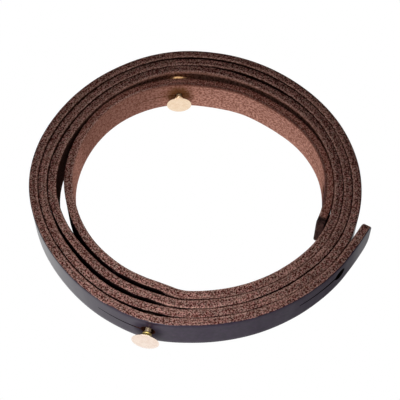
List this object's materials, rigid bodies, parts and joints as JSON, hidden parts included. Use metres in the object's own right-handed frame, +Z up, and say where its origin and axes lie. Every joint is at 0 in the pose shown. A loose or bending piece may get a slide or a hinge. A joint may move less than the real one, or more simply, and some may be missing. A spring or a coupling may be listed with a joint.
{
  "type": "hunting horn strap",
  "caption": "Long leather carrying strap for a hunting horn, wound into a flat coil on its edge, with a double-headed brass stud through a keyhole near each end.",
  "frame": {"origin": "middle of the coil's footprint, on the surface the strap's edge stands on", "axes": "+Z up across the strap's width; +X to the right and +Y to the back as the coil is looked at, with the strap's outer end at the right front"},
  "size_m": [0.1412, 0.1438, 0.015],
  "materials": {
    "leather": "dark brown smooth grain face, raw reddish brown suede edges and flesh face",
    "brass": "polished pale brass"
  },
  "bodies": {
    "root": {"strap": "leather", "outer_stud": "brass", "inner_stud": "brass"}
  },
  "joints": []
}
